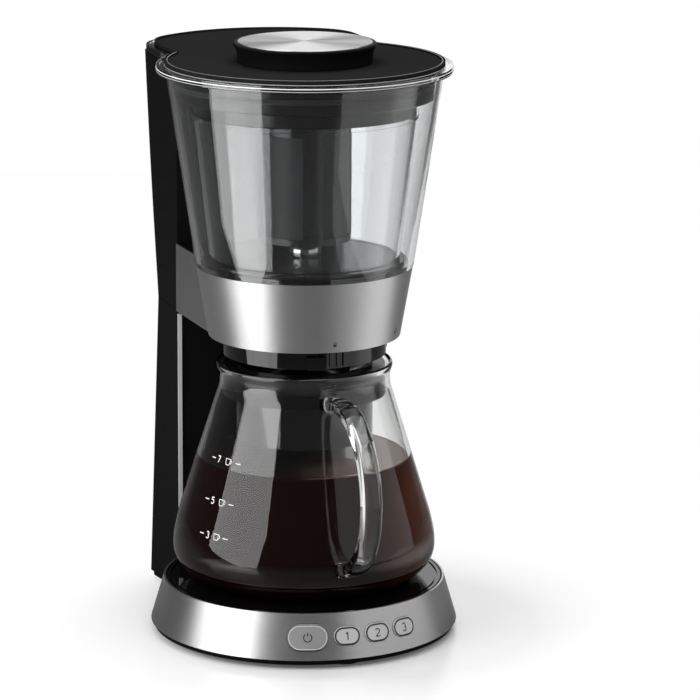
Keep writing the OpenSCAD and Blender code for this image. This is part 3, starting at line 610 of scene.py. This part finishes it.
# %% The signs
NUMERALS = {
    "1": [dense([(-0.35, 0.62), (0.1, 1.0), (0.1, -1.0)])],
    "2": [np.concatenate([arc(0, 0.42, 0.56, 165, -35),
                          dense([(0.3, -0.1), (-0.6, -0.96), (0.65, -0.96)], 5)])],
    "3": [arc(-0.05, 0.48, 0.5, 150, -80), arc(-0.05, -0.46, 0.56, 85, -150)],
    "5": [dense([(0.55, 0.97), (-0.42, 0.97), (-0.5, 0.12)], 5),
          arc(-0.02, -0.33, 0.62, 125, -145)],
    "7": [dense([(-0.6, 0.97), (0.6, 0.97), (-0.15, -1.0)], 8)],
}


def numeral(sign, height, weight):
    """A numeral's strokes, drawn between -1 and 1 and scaled to the height."""
    return [ribbon(line * height / 2, weight) for line in NUMERALS[sign]]


def cup_sign(size, weight):
    """A cup from the side: a tapered outline, and an arc for its ear."""
    cup = dense([(-0.62, 0.5), (0.62, 0.5), (0.42, -0.55), (-0.42, -0.55), (-0.62, 0.5),
                 (-0.4, 0.5)], 5)
    return [ribbon(line * size, weight) for line in (cup, arc(0.62, 0.05, 0.3, 75, -100, 12))]


def padlock(size, weight, swung=0.0):
    """A solid body under a bow. An open one has its bow swung aside and raised."""
    bow = np.concatenate([[(-0.45, 0.0)], arc(0, 0.5, 0.45, 180, 0, 14), [(0.45, 0.0)]])
    bow += (swung, 0.2 if swung else 0.0)
    body = dense([(-0.7, -0.45), (0.7, -0.45)])
    return [ribbon(body * size, 0.95 * size), ribbon(bow * size, weight)]


def power_sign(size, weight):
    """A ring open at the top, with an upright stroke in the gap."""
    return [ribbon(arc(0, 0, size, 125, 415, 30), weight),
            ribbon(dense([(0, 0.35 * size), (0, 1.25 * size)]), weight)]


# %% Laying signs on the surfaces
def lay(name, grids, place, finish, body, slot):
    """All ribbons of one print as one mesh; place turns (u, v) in millimetres into points."""
    points, faces = [], []
    for grid in grids:
        corner = len(points) + 2 * np.arange(len(grid) - 1)[:, None]
        faces += (corner + (0, 1, 3, 2)).tolist()
        points += place(grid.reshape(-1, 2)).tolist()
    mesh = bpy.data.meshes.new(name)
    mesh.from_pydata(points, [], faces)
    return settle(linked(name, mesh), finish, body, slot)


def round_place(azimuth, height, radius_at, slope=0.0, lift=0.06):
    """Wraps onto a surface of revolution whose radius depends on the height."""
    def place(flat):
        z = height + flat[:, 1] * math.cos(slope)
        r = radius_at(z) + lift
        t = math.radians(azimuth) + flat[:, 0] / r
        return about_axis(r * MM, t, z * MM)
    return place


white_ink = plastic("white_ink", grey(0.80), 0.5)
dark_ink = plastic("dark_ink", grey(0.012), 0.5)
pale_ink = plastic("pale_ink", grey(0.50), 0.5)


# %% The carafe's cup marks
def carafe_radius(z):
    """The outer radius at a height, between the profile's points."""
    return np.interp(z, outside[10:, 1], outside[10:, 0])


TICK = 3.6
for sign, z, azimuth, width in (("7", 109.0, -66.3, 24.4), ("5", 86.5, -64.6, 23.4),
                                ("3", 67.8, -63.4, 22.6)):
    left, right = -width / 2, width / 2
    marks = [ribbon(dense([(left, 0), (left + TICK, 0)]), 0.45),
             ribbon(dense([(right - TICK, 0), (right, 0)]), 0.45)]
    marks += moved(numeral(sign, 3.6, 0.5), left + 7.0) + moved(cup_sign(3.1, 0.34), 2.6)
    lay("cup_mark_" + sign, marks, round_place(azimuth, z, carafe_radius), white_ink, "jug",
        "light_trim")

# %% The buttons' signs and rims
BAND_Z, BAND_H, BAND_LOW_R, BAND_LEAN = 5.5, 25.4, 89.0, 7.5
TILT = math.atan(BAND_LEAN / BAND_H)
PROUD = 0.9 / math.cos(TILT)
BUTTON_Z, INK = 18.2, 0.62


def button_radius(z):
    """The radius of the buttons' faces: the leaning band's, and as far as they stand proud."""
    return BAND_LOW_R - BAND_LEAN * (z - BAND_Z) / BAND_H + PROUD


def oval_rim(w, h, inset, weight):
    return [ribbon(oval_line(w - inset, h - inset), weight)]


for name, azimuth, sign, w, h in (
        ("start", -17.0, None, 23.6, 15.0), ("mild", -1.9, "1", 15.4, 10.6),
        ("medium", 10.5, "2", 15.4, 10.6), ("bold", 22.9, "3", 15.4, 10.6)):
    place, body = round_place(azimuth, BUTTON_Z, button_radius, TILT, 0.05), name + "_button"
    rim = oval_rim(w, h, 1.4, 0.9) if sign else oval_rim(w, h, 0.8, 0.3)
    words = numeral(sign, 4.4, INK) if sign else power_sign(2.3, INK)
    lay("rim_" + name, rim, place, dark_ink, body, "black_gloss")
    lay("sign_" + name, words, place, dark_ink, body, "black_gloss")
    if not sign:
        lay("ring_" + name, oval_rim(w, h, 1.8, 0.5), place, pale_ink, body, "light_trim")

# %% The lock signs on the head
HEAD_Z, HEAD_H, HEAD_LOW_R, HEAD_LEAN = 174.9, 40.4, 55.2, 7.0


def head_radius(z):
    return HEAD_LOW_R + HEAD_LEAN * (z - HEAD_Z) / HEAD_H


for name, azimuth, z, swung in (("lock_sign", -0.6, 179.6, 0.0),
                                ("release_sign", 47.9, 180.6, 0.75)):
    lay(name, padlock(1.35, 0.4, swung), round_place(azimuth, z, head_radius), dark_ink, "machine",
        "black_gloss")

# %% [markdown]
# ## Studio
# A white sweep, one tall soft box at the left and a weaker one at the right, as for a catalogue
# picture. The soft boxes are what the steel and glass show as upright bright strips. Glossy black
# and clear pieces show the room more than their own colour. So the floor is white to the camera
# but mostly dark to a reflection, as a dark table would be, with painted light only where a strip
# of it should show in the steel, as a painted reflection. Near the machine and to its right the
# paper is also a little grey: a painted shadow under the real one.


# %% Where the floor is painted bright
def beam(x, y, direction, half_width, edge, start, rise):
    """A painted bright strip of the floor that leads away from the machine. Across it the share
    is (half_width - distance) times edge, and along it (distance - start) times rise, both clamped."""
    dx, dy = direction
    along, aside = x * dx + y * dy, y * dx - x * dy
    return ((half_width - abs(aside)) * edge).clamp() * ((along - start) * rise).clamp()


def floor_shares(x, y):
    """Three shares from 0 to 1: painted light in a reflection, white through the clear walls,
    and out of the grey pool under the machine and to its right, where its shadow falls and the
    paper has a painted shadow."""
    behind = ((x * VIEW_SIN + y * VIEW_COS + 0.02) * 6.0).clamp()
    sweep = behind * ((0.33 - abs(to_right(x, y) - 0.22)) * 20.0).clamp()
    # painted light: bright strips of floor under the lamps, which the steel shows as reflections
    under_left_lamp = beam(x, y, (-0.98, -0.19), 0.155, 25.0, 0.20, 10.0)
    under_right_lamp = beam(x, y, (0.95, -0.31), 0.26, 6.0, 0.15, 8.0)
    east, north = x - 0.028, y + 0.018
    pool = (((east * east + north * north).math("SQRT") - 0.105) * 14.0).clamp()
    return (behind * 0.12 + under_left_lamp + under_right_lamp).clamp(), sweep, pool


# %% Floor
def studio_floor():
    """A flat sheet, mixed with plain white for the camera and for what shows through the walls."""
    bpy.ops.mesh.primitive_plane_add(size=1)
    floor = bpy.context.object
    floor.name = "studio_floor"
    floor.scale = (9, 6, 1)
    floor.rotation_euler = (0, 0, -VIEW_TURN)
    floor.location = (-1.55 * VIEW_SIN, -1.55 * VIEW_COS, 0)
    paper = Finish("studio_white", grey(0.93), 0.22, Specular_IOR_Level=0.5)
    camera_ray, glossy_ray, through = (
        paper.node("ShaderNodeLightPath", outlet="Is %s Ray" % kind)
        for kind in ("Camera", "Glossy", "Transmission"))
    x, y, _ = paper.split(paper.node("ShaderNodeNewGeometry", outlet="Position"))
    painted_light_share, sweep, pool = floor_shares(x, y)
    # painted shadow: the paper is greyer in the pool under the machine and to its right
    painted_shadow_paper = paper.mix(pool, grey(0.80), grey(0.93))
    # painted reflection: to a reflection the floor is dark, with painted bright strips
    painted_reflection_floor = paper.mix(painted_light_share, grey(0.16), grey(0.90))
    paper.set("Base Color", paper.mix(glossy_ray, painted_shadow_paper, painted_reflection_floor))
    share = camera_ray * (0.08 + 0.90 * pool) + through * sweep * 0.85
    white = paper.node("ShaderNodeEmission", {}, {0: (1, 1, 1, 1)})
    sheet = Wire(paper, paper.shader.outputs[0])
    blend = paper.node("ShaderNodeMixShader", {}, {0: share, 1: sheet, 2: white})
    paper.tree.links.new(blend.socket, paper.output.inputs[0])
    floor.data.materials.append(paper.material)


studio_floor()


# %% Backdrop card
def backdrop(width, tall, distance, aside):
    """A white card behind the machine. Glossy black surfaces and clear walls show it."""
    bpy.ops.mesh.primitive_plane_add(size=1)
    card = bpy.context.object
    card.name = "backdrop_card"
    turn = -VIEW_TURN
    card.scale = (width, tall, 1)
    card.rotation_euler = (math.pi / 2, 0, turn)
    card.location = (-distance * math.sin(turn), AXIS_Y + distance * math.cos(turn), tall / 2 - 0.2)
    card.location += Vector((math.cos(turn), math.sin(turn), 0)) * aside
    sheet = Finish("backdrop_white", grey(0.05), 0.8, Emission_Color=(1, 1, 1, 1),
                   Emission_Strength=0.9)
    card.data.materials.append(sheet.material)
    card.visible_camera = False


backdrop(0.72, 1.2, 1.5, 0.23)

# %% World
ROOM_LIGHT, CAMERA_WHITE = 0.07, 1.0


def studio_world():
    """A faint even light from all sides, and plain white where the camera sees past the floor."""
    world = bpy.data.worlds.new("studio_air")
    bpy.context.scene.world = world
    world.use_nodes = True
    tree = world.node_tree
    tree.nodes.clear()
    blend = tree.nodes.new("ShaderNodeMixShader")
    for inlet, strength in ((1, ROOM_LIGHT), (2, CAMERA_WHITE)):
        air = tree.nodes.new("ShaderNodeBackground")
        air.inputs[0].default_value = (1, 1, 1, 1)
        air.inputs[1].default_value = strength
        tree.links.new(air.outputs[0], blend.inputs[inlet])
    path = tree.nodes.new("ShaderNodeLightPath")
    tree.links.new(path.outputs["Is Camera Ray"], blend.inputs[0])
    out = tree.nodes.new("ShaderNodeOutputWorld")
    tree.links.new(blend.outputs[0], out.inputs[0])


studio_world()


# %% Soft boxes
def soft_box(name, azimuth, distance, height, width, tall, radiance, faces=None, roll=0.0):
    """A rectangular lamp. azimuth is in degrees, 0 at the camera's side and positive to its right.
    It faces the brew axis, or lies square to the azimuth faces, and a high one tilts down to the
    machine's middle. Its power is radiance times pi times its area."""
    data = bpy.data.lights.new(name, "AREA")
    data.shape = "RECTANGLE"
    data.size, data.size_y = width, tall
    data.energy = radiance * math.pi * width * tall
    lamp = bpy.data.objects.new(name, data)
    bpy.context.scene.collection.objects.link(lamp)
    a = math.radians(azimuth) - VIEW_TURN
    b = math.radians(azimuth if faces is None else faces) - VIEW_TURN
    lamp.location = (distance * math.sin(a), AXIS_Y - distance * math.cos(a), height)
    fall = 0 if height < 1 else (0.25 - height) / distance
    aim = Vector((-math.sin(b), math.cos(b), fall)).to_track_quat("-Z", "Y")
    lamp.rotation_euler = (aim @ Quaternion((0, 0, 1), math.radians(roll))).to_euler()
    print(name, round(data.energy, 2), "W")


soft_box("soft_box_left", -48.3, 0.46, 0.40, 0.39, 0.80, 3.5, faces=-65, roll=-16)
soft_box("soft_box_right", 68, 0.48, 0.30, 0.74, 0.58, 0.68)
soft_box("soft_box_front", 18, 0.95, 1.25, 1.1, 0.6, 2.6)
soft_box("soft_box_top", 180, 0.35, 1.5, 1.7, 1.7, 2.7)

# %% [markdown]
# ## Camera
# The photograph was taken from the machine's left, a little above, with a long lens. The lens and
# the place were worked out from the ellipses that the round edges make in the picture.

# %% Camera
camera_data = bpy.data.cameras.new("photo_camera")
camera_data.lens = 194.88
camera_data.sensor_width = 36.0
camera_data.clip_end = 50
camera = bpy.data.objects.new("photo_camera", camera_data)
bpy.context.scene.collection.objects.link(camera)
ahead = Vector((0.320464, 0.919762, -0.226587))
right = Vector((0.944665, -0.328003, 0.00462))
above = Vector((0.070071, 0.215529, 0.97398))
axes = Matrix((right, above, -ahead)).transposed().to_4x4()
camera.matrix_world = Matrix.Translation((-0.67358, -2.01311 + AXIS_Y, 0.65816)) @ axes
bpy.context.scene.camera = camera
bpy.context.scene.view_settings.view_transform = "Standard"
